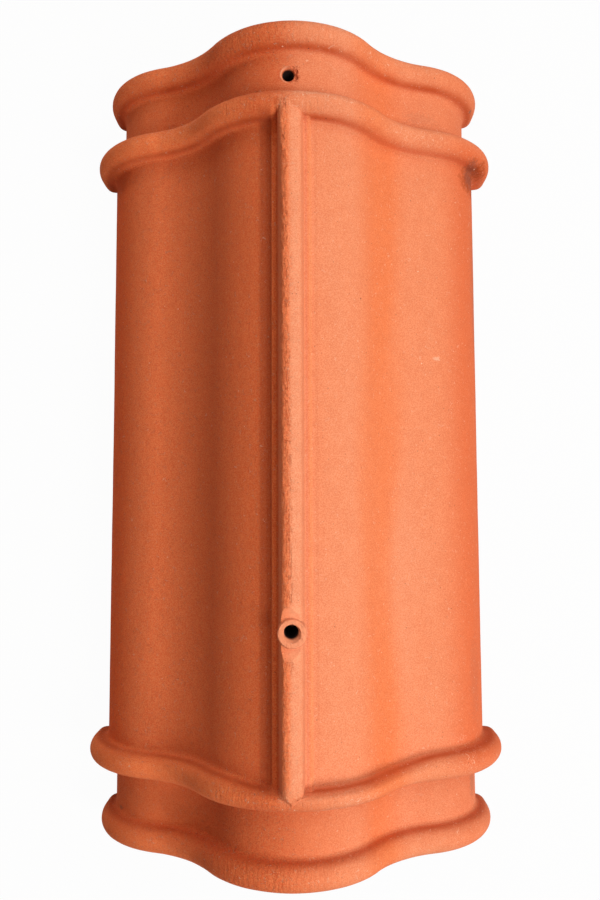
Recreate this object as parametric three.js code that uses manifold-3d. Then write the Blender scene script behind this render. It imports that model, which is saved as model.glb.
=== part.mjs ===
// Ornamental clay ridge tile, one pressed and fired piece: a hump-backed saddle with two round
// beads round each end, a pitched rib along its crown, a fixing boss standing on the rib and a
// nail hole in the upper neck.
//
// Millimetres, Z up. The tile lies on its two feet with its length along Y and its upper end at
// +Y. The origin is the middle of the footprint, on the floor.

import * as THREE from 'three';
import { mergeVertices } from 'three/addons/utils/BufferGeometryUtils.js';
import Module from 'manifold-3d';

const { degToRad } = THREE.MathUtils;
const QUARTER_TURN = Math.PI / 2;

// ---------------------------------------------------------------- driving dimensions

const LENGTH = 440;
const WALL = 16; // body, measured square to its face
const TAPER = 2; // how much further out the lower end stands than the upper end, all round

// The body's outer section, from the crown down: hump, hollow, shoulder, leg.
const HUMP_RADIUS = 50;
const HOLLOW_RADIUS = 62;
const SHOULDER_RADIUS = 47;
const FLANK_SLOPE = degToRad(56); // where the hump turns into the hollow
const SHELF_SLOPE = degToRad(16); // where the hollow turns into the shoulder
const LEG_HEIGHT = 8;

// The run from an end of the tile to its body. Rises and depths are from the body's face.
const END_BEAD_RADIUS = 7.2;
const END_BEAD_RISE = 3.5;
const END_BEAD_FILLET = 2.8;
const NECK_DEPTH = 5;
const NECK_FILLET = 3.4;
const INNER_BEAD_SETBACK = 47.6; // crest of the inner bead from the end of the tile
const INNER_BEAD_RADIUS = 6.6;
const INNER_BEAD_RISE = 10.6;
const BODY_FILLET = 2;
const STEEPEST_SIDE = degToRad(85); // a bead's side still draws out of the mould

// The rib. Widths are across the tile, rises are from the crown. Its crest and its eaves are
// given where its faces would meet if they weren't rounded, at its upper end, where it comes out
// level with the inner bead. Its lower end is a gable that stands on the other inner bead.
const LEDGE_WIDTH = 19.6;
const LEDGE_RISE = 1.1;
const LEDGE_FILLET = 1.4;
const RIB_FOOT_WIDTH = 13.4;
const RIB_TOP_WIDTH = 10.6; // over its eaves
const RIB_EAVES_RISE = 8.5;
const RIB_CREST_RISE = 10.9;
const RIB_ROUNDING = 1.5; // of its crest and eaves, along each face
const RIB_LIFT = 1.2; // how much higher its crest and eaves stand at its lower end
const GABLE_OVERHANG = 3.2; // tip of the gable, past the crest of the lower inner bead
const GABLE_SLOPE = degToRad(35); // of each side of the gable, in plan, back from its tip

// The boss on the rib. The rib is hipped down to its eaves on both sides of the boss.
const BOSS_SETBACK = 126.5; // from the lower end
const BOSS_DIAMETER = 14.4;
const BOSS_RISE = 11;
const HIP_GAP = 0.5;
const HIP_RUN = 6;
const BOSS_BORE = 7;
const BOSS_MOUTH = 8.6;
const BOSS_MOUTH_DEPTH = 1;

// The nail hole through the upper neck.
const NAIL_HOLE_SETBACK = 27.2; // from the upper end
const NAIL_HOLE_BORE = 6;
const NAIL_HOLE_MOUTH = 9;
const NAIL_HOLE_MOUTH_DEPTH = 1.6;

// Facets.
const SECTION_STEP = degToRad(7.5);
const BEAD_STEP = degToRad(16);
const CORNER_FACETS = 3;
const ROUND_SIDES = 32;
const OVERRUN = 5; // how far a cutting tool runs past the face that it cuts

const CLAY = { color: 0xd9733f, roughness: 0.9, metalness: 0 };

// ---------------------------------------------------------------- derived dimensions

const HALF = LENGTH / 2;
const HUMP_TO_HOLLOW = HUMP_RADIUS + HOLLOW_RADIUS;
const HOLLOW_TO_SHOULDER = HOLLOW_RADIUS + SHOULDER_RADIUS;
const HUMP_CENTRE_Z =
  LEG_HEIGHT + HOLLOW_TO_SHOULDER * Math.cos(SHELF_SLOPE) - HUMP_TO_HOLLOW * Math.cos(FLANK_SLOPE);
const CROWN_Z = HUMP_CENTRE_Z + HUMP_RADIUS;
const BOSS_Y = BOSS_SETBACK - HALF;
const NAIL_HOLE_Y = HALF - NAIL_HOLE_SETBACK;
const ROOT_DEPTH = WALL / 2; // rib and boss are rooted half-way into the wall
const FILLET_SINK = 0.2; // the ledges' fillets run out this far under the body's face
const RIB_UPPER_END = HALF - INNER_BEAD_SETBACK;
const GABLE_TIP = -RIB_UPPER_END - GABLE_OVERHANG;

/** How far out the taper puts the body's face at this place along the tile. */
const taperAt = (y) => (-TAPER / 2) * (y / HALF);

/** Height of the body's crown at this place along the tile. */
const crownAt = (y) => CROWN_Z + taperAt(y);

/** How much higher over the crown the rib stands here than at its upper end. */
const liftAt = (y) => RIB_LIFT * (RIB_UPPER_END - y) / (RIB_UPPER_END - GABLE_TIP);

// ---------------------------------------------------------------- section and run

/** Points of an arc, with as many facets for its sweep whatever its radius. */
function arc(centreX, centreY, radius, from, to, step) {
  const curve = new THREE.EllipseCurve(centreX, centreY, radius, radius, from, to, to < from);
  return curve.getPoints(Math.ceil(Math.abs(to - from) / step));
}

/** The whole section, left foot to right foot, moved outwards by `offset` all along. */
function section(offset, footZ) {
  const hollowX = HUMP_TO_HOLLOW * Math.sin(FLANK_SLOPE);
  const hollowZ = HUMP_CENTRE_Z + HUMP_TO_HOLLOW * Math.cos(FLANK_SLOPE);
  const shoulderX = hollowX - HOLLOW_TO_SHOULDER * Math.sin(SHELF_SLOPE);
  const right = [
    ...arc(0, HUMP_CENTRE_Z, HUMP_RADIUS + offset,
      QUARTER_TURN, QUARTER_TURN - FLANK_SLOPE, SECTION_STEP),
    ...arc(hollowX, hollowZ, HOLLOW_RADIUS - offset,
      3 * QUARTER_TURN - FLANK_SLOPE, 3 * QUARTER_TURN - SHELF_SLOPE, SECTION_STEP).slice(1),
    ...arc(shoulderX, LEG_HEIGHT, SHOULDER_RADIUS + offset,
      QUARTER_TURN - SHELF_SLOPE, 0, SECTION_STEP).slice(1),
    new THREE.Vector2(shoulderX + SHOULDER_RADIUS + offset, footZ),
  ];
  const left = right.slice(1).reverse().map((p) => new THREE.Vector2(-p.x, p.y));
  return [...left, ...right];
}

/**
 * One side of a bead: from its crest, round the bead, down a straight side where there is room
 * for one, and round the fillet onto the face `drop` below. x is the run from the crest and y
 * the height over that face.
 */
function beadSide(drop, radius, fillet) {
  const both = radius + fillet;
  const turn = Math.min(STEEPEST_SIDE, Math.acos(Math.max(1 - drop / both, -1)));
  const straight = (drop - both * (1 - Math.cos(turn))) / Math.sin(turn);
  const filletX = both * Math.sin(turn) + straight * Math.cos(turn);
  const round = arc(0, drop - radius, radius, QUARTER_TURN, QUARTER_TURN - turn, BEAD_STEP);
  const foot = arc(filletX, fillet, fillet, 3 * QUARTER_TURN - turn, 3 * QUARTER_TURN, BEAD_STEP);
  return turn === STEEPEST_SIDE ? [...round, ...foot] : [...round, ...foot.slice(1)];
}

/** The run from an end of the tile to its body: x from the end, y out from the body's face. */
function endRun() {
  const place = (side, crest, way, base) =>
    side.map((p) => new THREE.Vector2(crest + way * p.x, base + p.y));
  const endFace = arc(END_BEAD_RADIUS, END_BEAD_RISE - END_BEAD_RADIUS, END_BEAD_RADIUS,
    2 * QUARTER_TURN, QUARTER_TURN, BEAD_STEP);
  const endToNeck = beadSide(END_BEAD_RISE + NECK_DEPTH, END_BEAD_RADIUS, END_BEAD_FILLET);
  const innerToNeck = beadSide(INNER_BEAD_RISE + NECK_DEPTH, INNER_BEAD_RADIUS, NECK_FILLET);
  const innerToBody = beadSide(INNER_BEAD_RISE, INNER_BEAD_RADIUS, BODY_FILLET);
  return [
    ...endFace,
    ...place(endToNeck, END_BEAD_RADIUS, 1, -NECK_DEPTH).slice(1),
    ...place(innerToNeck, INNER_BEAD_SETBACK, -1, -NECK_DEPTH).reverse(),
    ...place(innerToBody, INNER_BEAD_SETBACK, 1, 0).slice(1),
  ];
}

// ---------------------------------------------------------------- solids

const wasm = await Module();
wasm.setup();

/** A closed geometry as a solid. */
function solid(geometry) {
  const bare = geometry.clone();
  bare.deleteAttribute('normal');
  bare.deleteAttribute('uv');
  const merged = mergeVertices(bare);
  return new wasm.Manifold(new wasm.Mesh({
    numProp: 3,
    vertProperties: new Float32Array(merged.attributes.position.array),
    triVerts: new Uint32Array(merged.index.array),
  }));
}

/** A solid through closed outlines {y, outline}, in order of y, all with as many points. */
function loft(rings) {
  const count = rings[0].outline.length;
  const positions = rings.flatMap(({ y, outline }) => outline.flatMap((p) => [p.x, y, p.y]));
  const faces = [];
  for (let ring = 0; ring < rings.length - 1; ring += 1) {
    for (let i = 0; i < count; i += 1) {
      const next = (i + 1) % count;
      const here = ring * count;
      const there = here + count;
      faces.push([here + i, here + next, there + next], [here + i, there + next, there + i]);
    }
  }
  const last = (rings.length - 1) * count;
  for (const [a, b, c] of THREE.ShapeUtils.triangulateShape(rings[0].outline, [])) {
    faces.push([a, b, c], [last + c, last + b, last + a]);
  }
  const geometry = new THREE.BufferGeometry();
  geometry.setAttribute('position', new THREE.Float32BufferAttribute(positions, 3));
  geometry.setIndex(faces.flat());
  return solid(geometry);
}

/** An upright round solid at (0, y), from an outline {x: radius, y: height}. */
function turned(y, profile) {
  const points = profile.map(([radius, height]) => new THREE.Vector2(radius, height));
  return solid(new THREE.LatheGeometry(points, ROUND_SIDES).rotateX(QUARTER_TURN).translate(0, y, 0));
}

/** The arch filled down to the floor, with its beads and necks. */
function filledArch() {
  const run = endRun();
  const lower = run.map((p) => ({ y: p.x - HALF, offset: p.y }));
  const upper = run.map((p) => ({ y: HALF - p.x, offset: p.y })).reverse();
  return loft([...lower, ...upper].map(({ y, offset }) => (
    { y, outline: section(offset + taperAt(y), 0) })));
}

/** What is hollow under the arch, one wall in from the body's face. */
function hollow() {
  const ends = [-HALF - OVERRUN, HALF + OVERRUN];
  return loft(ends.map((y) => ({ y, outline: section(taperAt(y) - WALL, -OVERRUN) })));
}

/** The rib's outline from root to root at this place along the tile. */
function ribSection(atY) {
  const crown = crownAt(atY);
  const lift = liftAt(atY);
  const ledge = LEDGE_WIDTH / 2;
  const rootX = ledge + 2 * LEDGE_FILLET;
  const bodyAt = (x) => Math.sqrt(HUMP_RADIUS ** 2 - x ** 2) - HUMP_RADIUS;
  const right = [
    { x: 0, y: RIB_CREST_RISE + lift, rounding: RIB_ROUNDING },
    { x: RIB_TOP_WIDTH / 2, y: RIB_EAVES_RISE + lift, rounding: RIB_ROUNDING },
    { x: RIB_FOOT_WIDTH / 2, y: LEDGE_RISE },
    { x: ledge, y: LEDGE_RISE },
    { x: ledge, y: bodyAt(ledge) - FILLET_SINK, rounding: LEDGE_FILLET },
    { x: rootX, y: bodyAt(rootX) - FILLET_SINK },
    { x: rootX, y: -ROOT_DEPTH },
  ];
  const left = right.slice(1).reverse().map((corner) => ({ ...corner, x: -corner.x }));
  const corners = [...left, ...right];
  return corners.flatMap(({ x, y, rounding }, i) => {
    const corner = new THREE.Vector2(x, crown + y);
    if (!rounding) return [corner];
    const [before, after] = [corners[i - 1], corners[i + 1]].map((next) => (
      new THREE.Vector2(next.x - x, next.y - y).setLength(rounding).add(corner)));
    return new THREE.QuadraticBezierCurve(before, corner, after).getPoints(CORNER_FACETS);
  });
}

/** The pitched rib on its ledges, from the crest of the upper inner bead to the tip of the gable. */
function rib() {
  const side = LEDGE_WIDTH / 2 + OVERRUN;
  const eaves = GABLE_TIP + side * Math.tan(GABLE_SLOPE);
  const plan = new THREE.Shape([
    new THREE.Vector2(0, GABLE_TIP),
    new THREE.Vector2(side, eaves),
    new THREE.Vector2(side, RIB_UPPER_END + OVERRUN),
    new THREE.Vector2(-side, RIB_UPPER_END + OVERRUN),
    new THREE.Vector2(-side, eaves),
  ]);
  const pointed = new THREE.ExtrudeGeometry(plan, { depth: CROWN_Z * 2, bevelEnabled: false });
  return loft([GABLE_TIP, RIB_UPPER_END].map((y) => ({ y, outline: ribSection(y) })))
    .intersect(solid(pointed));
}

/** What the two hips take off the rib round the boss. */
function hips() {
  const crown = crownAt(BOSS_Y);
  const near = BOSS_DIAMETER / 2 + HIP_GAP;
  const slope = (RIB_CREST_RISE - RIB_EAVES_RISE) / HIP_RUN;
  const far = near + HIP_RUN + OVERRUN;
  const eaves = RIB_EAVES_RISE + liftAt(BOSS_Y);
  const top = eaves + slope * (far - near);
  const side = new THREE.Shape([
    new THREE.Vector2(-near, eaves),
    new THREE.Vector2(near, eaves),
    new THREE.Vector2(far, top),
    new THREE.Vector2(-far, top),
  ]);
  const width = LEDGE_WIDTH + 2 * OVERRUN;
  const tool = new THREE.ExtrudeGeometry(side, { depth: width, bevelEnabled: false });
  tool.translate(0, 0, -width / 2).rotateY(QUARTER_TURN).rotateX(QUARTER_TURN);
  return solid(tool.translate(0, BOSS_Y, crown));
}

/** The boss, rooted in the wall. */
function boss() {
  const crown = crownAt(BOSS_Y);
  const radius = BOSS_DIAMETER / 2;
  return turned(BOSS_Y, [
    [0, crown - ROOT_DEPTH],
    [radius, crown - ROOT_DEPTH],
    [radius, crown + BOSS_RISE],
    [0, crown + BOSS_RISE],
  ]);
}

/** A hole down through the crown, opened out to a wider mouth at `topZ`. */
function hole(y, topZ, bore, mouth, mouthDepth) {
  const widening = (mouth - bore) / 2 / mouthDepth;
  const bottomZ = crownAt(y) - WALL - OVERRUN;
  return turned(y, [
    [0, bottomZ],
    [bore / 2, bottomZ],
    [bore / 2, topZ - mouthDepth],
    [mouth / 2 + widening * OVERRUN, topZ + OVERRUN],
    [0, topZ + OVERRUN],
  ]);
}

const bossHole = hole(BOSS_Y, crownAt(BOSS_Y) + BOSS_RISE, BOSS_BORE, BOSS_MOUTH, BOSS_MOUTH_DEPTH);
const nailHole = hole(NAIL_HOLE_Y, crownAt(NAIL_HOLE_Y) - NECK_DEPTH,
  NAIL_HOLE_BORE, NAIL_HOLE_MOUTH, NAIL_HOLE_MOUTH_DEPTH);

const tile = filledArch()
  .subtract(hollow())
  .add(rib().subtract(hips()))
  .add(boss())
  .subtract(bossHole)
  .subtract(nailHole)
  .getMesh();

// ---------------------------------------------------------------- the part

const geometry = new THREE.BufferGeometry();
geometry.setAttribute('position', new THREE.BufferAttribute(tile.vertProperties, 3));
geometry.setIndex(new THREE.BufferAttribute(tile.triVerts, 1));
geometry.computeVertexNormals();

const ridgeTile = new THREE.Mesh(geometry, new THREE.MeshStandardMaterial(CLAY));
ridgeTile.name = 'ridge_tile';

const part = new THREE.Group();
part.add(ridgeTile);

export default part;
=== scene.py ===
# Looks of the beaded clay ridge tile: the pressed, fired tile itself, the floor it lies on, the
# studio light and the camera. Sizes are written in millimetres and angles in degrees.

import math

import bpy
from mathutils import Matrix, Vector


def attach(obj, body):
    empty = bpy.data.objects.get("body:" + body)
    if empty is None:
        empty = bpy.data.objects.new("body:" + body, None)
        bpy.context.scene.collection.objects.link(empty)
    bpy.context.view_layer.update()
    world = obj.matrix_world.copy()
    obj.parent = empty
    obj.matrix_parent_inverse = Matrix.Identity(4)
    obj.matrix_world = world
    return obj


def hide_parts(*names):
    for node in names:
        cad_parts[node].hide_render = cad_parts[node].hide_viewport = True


MM = 0.001
QUARTER_TURN = math.pi / 2

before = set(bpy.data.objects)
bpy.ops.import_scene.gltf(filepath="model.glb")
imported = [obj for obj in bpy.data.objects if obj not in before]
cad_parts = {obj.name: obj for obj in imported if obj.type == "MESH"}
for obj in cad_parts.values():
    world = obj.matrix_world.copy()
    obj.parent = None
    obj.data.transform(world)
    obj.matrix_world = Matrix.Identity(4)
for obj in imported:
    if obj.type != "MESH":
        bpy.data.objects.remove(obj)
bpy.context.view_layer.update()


# ---------------------------------------------------------------- node trees


def operator(operation, swapped=False):
    """A Value's method that adds a Math node of this operation."""
    def method(self, *others):
        values = (self, *others)
        return self.tree.math(operation, *(reversed(values) if swapped else values))
    return method


class Value:
    """A number or vector in a node tree that takes arithmetic and comparisons."""

    def __init__(self, tree, socket):
        self.tree = tree
        self.socket = socket

    __add__ = __radd__ = operator("ADD")
    __sub__, __rsub__ = operator("SUBTRACT"), operator("SUBTRACT", swapped=True)
    __mul__ = __rmul__ = operator("MULTIPLY")
    __truediv__, __rtruediv__ = operator("DIVIDE"), operator("DIVIDE", swapped=True)
    __gt__, __lt__ = operator("GREATER_THAN"), operator("LESS_THAN")
    __abs__, sign, floor = operator("ABSOLUTE"), operator("SIGN"), operator("FLOOR")
    sin, cos, root = operator("SINE"), operator("COSINE"), operator("SQRT")
    least, most = operator("MINIMUM"), operator("MAXIMUM")

    def __neg__(self):
        return self * -1

    def between(self, low, high):
        return self.most(low).least(high)

    def ramp(self, start, end, low=0.0, high=1.0, smooth=True):
        """Goes from low to high as the value goes from start to end."""
        kind = "SMOOTHSTEP" if smooth else "LINEAR"
        inputs = dict(enumerate((self, start, end, low, high)))
        return self.tree.new("ShaderNodeMapRange", inputs, interpolation_type=kind)

    def over(self, start, end, low=0.0, high=1.0, smooth=True):
        """A ramp of a length in metres whose start and end are given in millimetres."""
        return self.ramp(start * MM, end * MM, low, high, smooth)


class Tree:
    """A node tree being built, of any kind."""

    def __init__(self, nodes_of):
        self.nodes_of = nodes_of

    def node(self, kind, inputs=None, **settings):
        """Adds a node. Inputs are by name or number, and take plain values, Values or sockets."""
        node = self.nodes_of.nodes.new(kind)
        for name, value in settings.items():
            setattr(node, name, value)
        self.fill(node, inputs or {})
        return node

    def fill(self, node, inputs):
        """Gives a node its inputs: a plain value is set on the socket, anything else is linked."""
        for name, value in inputs.items():
            self.feed(node.inputs[name], value)

    def feed(self, socket, value):
        if isinstance(value, Value):
            value = value.socket
        if isinstance(value, bpy.types.NodeSocket):
            self.nodes_of.links.new(value, socket)
        else:
            socket.default_value = value

    def out(self, node, output=0):
        return Value(self, node.outputs[output])

    def new(self, kind, inputs=None, output=0, **settings):
        """Adds a node and returns one of its outputs."""
        return self.out(self.node(kind, inputs, **settings), output)

    def math(self, operation, *values):
        return self.new("ShaderNodeMath", dict(enumerate(values)), operation=operation)

    def vector_math(self, operation, *values):
        output = "Value" if operation == "LENGTH" else "Vector"
        return self.new(
            "ShaderNodeVectorMath", dict(enumerate(values)), output, operation=operation)

    def scaled(self, vector, share):
        return self.new(
            "ShaderNodeVectorMath", {"Vector": vector, "Scale": share}, operation="SCALE")

    def mixed(self, share, first, second):
        """A colour share of the way from first to second."""
        return self.new(
            "ShaderNodeMix", {"Factor": share, 6: first, 7: second}, 2, data_type="RGBA")

    def vector(self, x, y, z):
        return self.new("ShaderNodeCombineXYZ", {0: x, 1: y, 2: z})

    def parts(self, vector):
        node = self.node("ShaderNodeSeparateXYZ", {0: vector})
        return self.out(node, 0), self.out(node, 1), self.out(node, 2)

    def noise(self, vector, scale, detail=2.0, roughness=0.5, distortion=0.0):
        return self.new("ShaderNodeTexNoise", {
            "Vector": vector, "Scale": scale, "Detail": detail,
            "Roughness": roughness, "Distortion": distortion})


SOCKETS = {
    "length": ("NodeSocketFloat", "DISTANCE"),
    "angle": ("NodeSocketFloat", "ANGLE"),
    "float": ("NodeSocketFloat", "NONE"),
    "vector": ("NodeSocketVector", None),
    "shape": ("NodeSocketGeometry", None),
    "material": ("NodeSocketMaterial", None),
}


def new_group(name, kind, inputs, outputs):
    """An empty node group: inputs {name: kind or (kind, default)}, outputs {name: kind}."""
    group = bpy.data.node_groups.new(name, kind)
    for way, sockets in (("INPUT", inputs), ("OUTPUT", outputs)):
        for label, about in sockets.items():
            sort, default = about if isinstance(about, tuple) else (about, None)
            socket_type, subtype = SOCKETS[sort]
            socket = group.interface.new_socket(label, in_out=way, socket_type=socket_type)
            if subtype:
                socket.subtype = subtype
            if default is not None:
                socket.default_value = default
    tree = Tree(group)
    given = tree.node("NodeGroupInput")
    result = tree.node("NodeGroupOutput")
    return tree, {s.name: Value(tree, s) for s in given.outputs if s.name}, result


def finished(tree, result, values):
    """Links a group's outputs by name and returns the group."""
    tree.fill(result, values)
    return tree.nodes_of


def place(tree, group, inputs):
    """Puts a built group in a tree and returns its outputs by name."""
    kind = tree.nodes_of.bl_idname.replace("Tree", "Group")
    node = tree.node(kind, inputs, node_tree=group)
    return {s.name: Value(tree, s) for s in node.outputs}


# ---------------------------------------------------------------- paths of arcs and straights

# What a point that travels along a path carries: how far it still has to go, where it is, and
# which way it heads.
TRAVEL = {"Left": "float", "Across": "float", "Up": "float", "Heading": "float"}
SHORTEST_SPAN = 1e-9  # keeps an arc of no length from dividing by zero


def arc_group():
    """Carries a travelling point round an arc; a positive sweep turns it left."""
    tree, given, result = new_group(
        "follow_arc", "GeometryNodeTree", {**TRAVEL, "Radius": "float", "Sweep": "float"}, TRAVEL)
    left, heading, radius, sweep = (given[n] for n in ("Left", "Heading", "Radius", "Sweep"))
    span = abs(sweep) * radius
    turned = heading + sweep * (left / span.most(SHORTEST_SPAN)).between(0, 1)
    reach = radius * sweep.sign()
    return finished(tree, result, {
        "Left": left - span,
        "Across": given["Across"] + reach * (turned.sin() - heading.sin()),
        "Up": given["Up"] - reach * (turned.cos() - heading.cos()),
        "Heading": turned})


def straight_group():
    """Carries a travelling point straight on."""
    tree, given, result = new_group(
        "follow_straight", "GeometryNodeTree", {**TRAVEL, "Length": "float"}, TRAVEL)
    gone = given["Left"].between(0, given["Length"])
    return finished(tree, result, {
        "Left": given["Left"] - given["Length"],
        "Across": given["Across"] + gone * given["Heading"].cos(),
        "Up": given["Up"] + gone * given["Heading"].sin(),
        "Heading": given["Heading"]})


def bead_side_group():
    """How one side of a bead runs from its crest down to a face: turn, straight, then fillet."""
    tree, given, result = new_group(
        "bead_side", "GeometryNodeTree",
        {n: "float" for n in ("Drop", "Radius", "Fillet", "Steepest")},
        {n: "float" for n in ("Turn", "Straight", "Run", "Path")})
    drop, fillet = given["Drop"], given["Fillet"]
    both = given["Radius"] + fillet
    turn = given["Steepest"].least(tree.math("ARCCOSINE", (1 - drop / both).most(-1)))
    straight = (drop - both * (1 - turn.cos())) / turn.sin()
    return finished(tree, result, {
        "Turn": turn, "Straight": straight,
        "Run": both * turn.sin() + straight * turn.cos(),
        "Path": both * turn + straight})


FOLLOW_ARC = arc_group()
FOLLOW_STRAIGHT = straight_group()
BEAD_SIDE = bead_side_group()


def travel(tree, start, steps):
    """The travelling point at the start and after each step: (radius, sweep) or (length, None)."""
    points = [start]
    for first, sweep in steps:
        if sweep is None:
            group, about = FOLLOW_STRAIGHT, {"Length": first}
        else:
            group, about = FOLLOW_ARC, {"Radius": first, "Sweep": sweep}
        points.append(place(tree, group, {**points[-1], **about}))
    return points


# ---------------------------------------------------------------- the tile

# The same sizes as the part's own, in millimetres and degrees.
TILE_SIZES = {
    "Length": 440, "Wall": 16, "Taper": 2,
    "Hump Radius": 50, "Hollow Radius": 62, "Shoulder Radius": 47, "Leg Height": 8,
    "End Bead Radius": 7.2, "End Bead Rise": 3.5, "End Bead Fillet": 2.8,
    "Neck Depth": 5, "Neck Fillet": 3.4,
    "Inner Bead Setback": 47.6, "Inner Bead Radius": 6.6, "Inner Bead Rise": 10.6,
    "Body Fillet": 2,
    "Ledge Width": 19.6, "Ledge Rise": 1.1, "Ledge Fillet": 1.4,
    "Rib Foot Width": 13.4, "Rib Top Width": 10.6, "Rib Eaves Rise": 8.5, "Rib Crest Rise": 10.9,
    "Rib Crest Radius": 3, "Rib Eaves Radius": 4, "Rib Foot Fillet": 1, "Rib Lift": 1.2,
    "Gable Overhang": 3.2,
    "Boss Setback": 126.5, "Boss Diameter": 14.4, "Boss Rise": 11, "Boss Bore": 7,
    "Boss Mouth": 9, "Boss Mouth Depth": 2.6, "Hip Gap": 0.5, "Hip Run": 6,
    "Nail Hole Setback": 27.2, "Nail Hole Bore": 6, "Nail Hole Mouth": 9,
    "Nail Hole Mouth Depth": 2.2,
}
TILE_ANGLES = {"Flank Slope": 56, "Shelf Slope": 16, "Steepest Side": 85, "Gable Slope": 35,
               "Gable Lean": 45}

LEDGE_EDGE = 0.6  # roundness of the ledges' upper edges
LEDGE_DIVE = math.radians(20)  # how steeply the fillet's foot meets the body
LEDGE_COVER = (0.9, -0.2)  # how far the ledges stand over the lower and the upper bead they climb
COVER_CHANGE = 50  # one turns into the other between this far below and above the middle
CLIMB_FALL = 3  # how steeply a climbing ledge falls past the bead
CLIMB_ROUND = 2  # a ledge that has climbed this high follows the bead's own round crown
CLIMB_CROWN = 0.05  # what is left of the rib's height over ledges that have climbed a bead
CREST_SHIFT = -0.8  # the crest was struck a little left of the middle,
LEFT_FULLNESS = 0.75  # and its left slope is fuller than its right one,
LEFT_SLOPE = (-6.4, -3.2, 0)  # from the first x to the last, most at the middle one
RIB_FLARE = 1.8  # how much the left eaves spread where they reach the upper bead,
FLARE_REACH = 50  # and how far before it they begin to
RIB_ROOT = 7  # how deep rib and boss are rooted in the wall
BOSS_EDGE = 0.9  # roundness of the boss's worn upper edge
BOSS_EDGE_STEPS = 6
BOSS_TOP_RINGS = (0.1, 0.5, 0.75)  # rings of points on its flat top, by share of its radius
BOSS_X = 0.3  # the boss and the nail hole are a little off the middle
NAIL_HOLE_X = -1.0
TEAR_MIDDLE = -3.2  # the clay tore along the left of the rib's crest when it was struck off
TEAR_REACH = 3.6
# How far off the mouth's middle each bore's two ends are, along X and Y.
BOSS_DRIFT = ((-0.5, 1.0), (-0.5, 3.6))
NAIL_HOLE_DRIFT = ((-0.4, 0.2), (-0.4, -2.4))
BOSS_NARROWING, NAIL_HOLE_NARROWING = 0.1, 0.15  # how much narrower each bore gets to its exit
# What broke out of the nail hole's rim: off its middle along X and Y, radius, depth.
NAIL_HOLE_CHIPS = ((3.6, 1.4, 1.5, 1.2), (3.5, -1.8, 1.6, 1.4), (1.8, 3.4, 1.2, 0.8))
BEAD_PINCH = 4.8  # how much narrower the lower inner bead was left on one stretch over the hump
PINCH_MIDDLE = 22
PINCH_REACH = (62, 24)  # it starts and is whole this far from the stretch's middle
JUST_OVER = 1e-6  # a length that nobody sees, which settles what lies just on an edge
TOOL_OVERRUN = 5  # how far a cutting shape stands out of what it cuts
GABLE_TOOL = 60  # size of the blocks that cut the gable's faces
BOSS_WOBBLE, HOLE_WOBBLE, CHIP_WOBBLE = 0.012, 0.05, 0.35  # unevenness, by share of the radius
WOBBLE_SCALE = 1.3  # waves of that unevenness round a whole ring,
WOBBLE_SHIFT = 40  # which differ with the ring's place along the tile
OFF_FLOOR = 4  # the feet stay flat, and this far above the floor the waves are whole
WAVES_PER_METRE, DENTS_PER_METRE, TEARS_PER_METRE = 22.0, 85.0, 420.0
CREASE_ANGLE = 32  # a sharper edge than this shows as an edge
# Where the painted shade in the creases of end bead, neck and body is darkest: after how many steps
# of the wall's outline, how far along the face from there, and how far it reaches.
CREASES = ((4, -1.6, 4), (7, 0, 3), (11, -2.8, 4.2))
ROUND_SIDES = 64  # of the boss, holes and chips

RIB_STEPS = 440  # mesh columns along the rib
SECTION_STEPS = 190  # mesh columns from foot to foot
END_STEPS = 84  # mesh rows over one end's beads and neck,
BODY_STEPS = 120  # over the body,
UNDER_STEPS = 20  # and back along the underside
OUTSIDE_STEPS = 2 * END_STEPS + BODY_STEPS
AROUND = OUTSIDE_STEPS + UNDER_STEPS


def block(tree):
    """A cube a metre wide round the middle, and the x, y and z of its points."""
    cube = tree.new("GeometryNodeMeshCube", {"Size": (1, 1, 1)})
    return cube, *tree.parts(tree.new("GeometryNodeInputPosition"))


def tube(tree, around, segments):
    """A tube's mesh, and the ring and the place in the ring of each of its points."""
    mesh = tree.new("GeometryNodeMeshCylinder", {"Vertices": around, "Side Segments": segments})
    index = tree.new("GeometryNodeInputIndex")
    ring = (index / around + 0.5 / around).floor()
    return mesh, ring, index - ring * around


def put(tree, shape, x, y, z):
    """The shape with its points at these places."""
    return tree.new("GeometryNodeSetPosition", {
        "Geometry": shape, "Position": tree.vector(x, y, z)})


def marked(tree, shape, name, value):
    """Stores a value with each point, for the finishes to read."""
    return tree.new("GeometryNodeStoreNamedAttribute", {
        "Geometry": shape, "Name": name, "Value": value})


def mark(tree, name):
    """What was stored with each point under this name."""
    return tree.new("GeometryNodeInputNamedAttribute", {"Name": name})


def paced(row, stretches):
    """How far along a path a row is, where each stretch (length, rows) has its own rows."""
    gone, first = 0, 0
    for length, rows in stretches:
        gone = ((row - first) / rows).between(0, 1) * length + gone
        first += rows
    return gone


def section_at(tree, size, travelled, offset):
    """The section: x and z of the point that lies this far from the crown, moved out by offset."""
    flank, shelf = size["Flank Slope"], size["Shelf Slope"]
    leg = travel(tree, {"Left": abs(travelled), "Across": 0, "Up": 0, "Heading": 0}, (
        (size["Hump Radius"], -flank), (size["Hollow Radius"], flank - shelf),
        (size["Shoulder Radius"], shelf - QUARTER_TURN), (size["Leg Height"], None)))[-1]
    x = (leg["Across"] - offset * leg["Heading"].sin()) * travelled.sign()
    z = crown_height(size) + leg["Up"] + offset * leg["Heading"].cos()
    return x, z


def crown_height(size):
    """Height of the body's crown over the floor, in the middle of the tile."""
    flank, shelf = size["Flank Slope"], size["Shelf Slope"]
    return (size["Leg Height"] + size["Hump Radius"]
            + (size["Hollow Radius"] + size["Shoulder Radius"]) * shelf.cos()
            - (size["Hump Radius"] + size["Hollow Radius"]) * flank.cos())


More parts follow.
